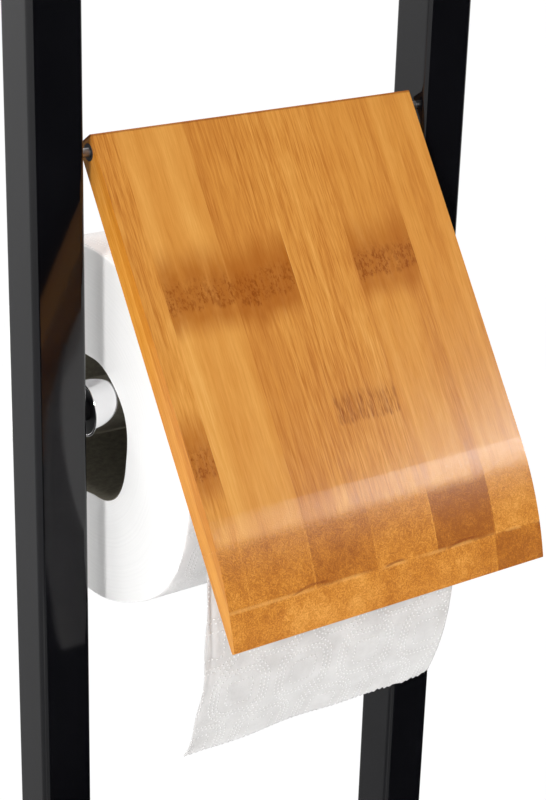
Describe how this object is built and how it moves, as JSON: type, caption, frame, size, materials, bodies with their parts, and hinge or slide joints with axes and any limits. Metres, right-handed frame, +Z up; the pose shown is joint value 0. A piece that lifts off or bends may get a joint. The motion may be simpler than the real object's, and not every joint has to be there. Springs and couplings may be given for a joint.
{
  "type": "toilet roll and brush stand",
  "caption": "Free-standing black steel stand with a sloping bamboo lid over a toilet roll on a chrome spring roller, and a toilet brush in a cup on the base.",
  "frame": {"origin": "on the floor under the middle of the base, at the bottom of the rubber feet", "axes": "+Z up, X along the lid's hinge, -Y the front where the lid slopes and the paper hangs"},
  "size_m": [0.2, 0.19, 0.79],
  "materials": {
    "black_steel": "smooth glossy black powder coat",
    "plain_steel": "zinc plated",
    "spring_steel": "bright spring wire",
    "chrome": "polished",
    "rubber": "matt",
    "bamboo": "satin lacquered bamboo, caramel",
    "dark_nylon": "matt black nylon",
    "black_plastic": "satin black",
    "card": "grey-brown card",
    "toilet_paper": "soft embossed tissue",
    "bristle": "white nylon bristle"
  },
  "bodies": {
    "stand": {"base_plate": "black_steel", "left_post": "black_steel", "right_post": "black_steel", "top_rail": "black_steel", "post_inserts": "plain_steel", "base_screws": "plain_steel", "rubber_feet": "rubber", "hinge_pins": "plain_steel", "pin_nuts": "plain_steel", "roller_outer_sleeve": "chrome", "left_end_plug": "dark_nylon", "roller_spring": "spring_steel", "brush_cup": "black_steel", "cup_liner": "black_plastic", "cup_screw": "plain_steel", "cup_nut": "plain_steel"},
    "lid": {"lid": "bamboo", "lid_bushes": "dark_nylon"},
    "roller_end": {"roller_inner_sleeve": "chrome", "right_end_plug": "dark_nylon"},
    "roll": {"paper_roll": "toilet_paper", "card_core": "card"},
    "sheet": {"hanging_sheet": "toilet_paper"},
    "brush": {"splash_collar": "black_plastic", "brush_rod": "chrome", "brush_grip": "black_steel", "grip_cap": "black_plastic", "brush_head": "black_plastic", "bristles": "bristle"}
  },
  "joints": [
    {"name": "lid_hinge", "type": "hinge", "parent": "stand", "child": "lid", "pos_m": [0, -0.0036, 0.69], "axis": [-1, 0, 0], "range_deg": [0, 137]},
    {"name": "roller_push_in", "type": "slide", "parent": "stand", "child": "roller_end", "axis": [-1, 0, 0], "range_m": [0, 0.006], "stiffness_N_per_m": 600, "springref_m": -0.006, "deforming": ["roller_spring"]},
    {"name": "roll_spin", "type": "hinge", "parent": "stand", "child": "roll", "pos_m": [-0.0032, 0.01197, 0.59387], "axis": [1, 0, 0], "range_deg": [0, 92]},
    {"name": "sheet_pull", "type": "slide", "parent": "stand", "child": "sheet", "axis": [0, 0, -1], "range_m": [0, 0.1], "deforming": ["hanging_sheet"]},
    {"name": "brush_lift", "type": "slide", "parent": "stand", "child": "brush", "axis": [0, 0, 1], "range_m": [0, 0.15]}
  ],
  "couplings": [
    {"joint": "sheet_pull", "follows": "roll_spin", "m_per_rad": 0.0621}
  ]
}
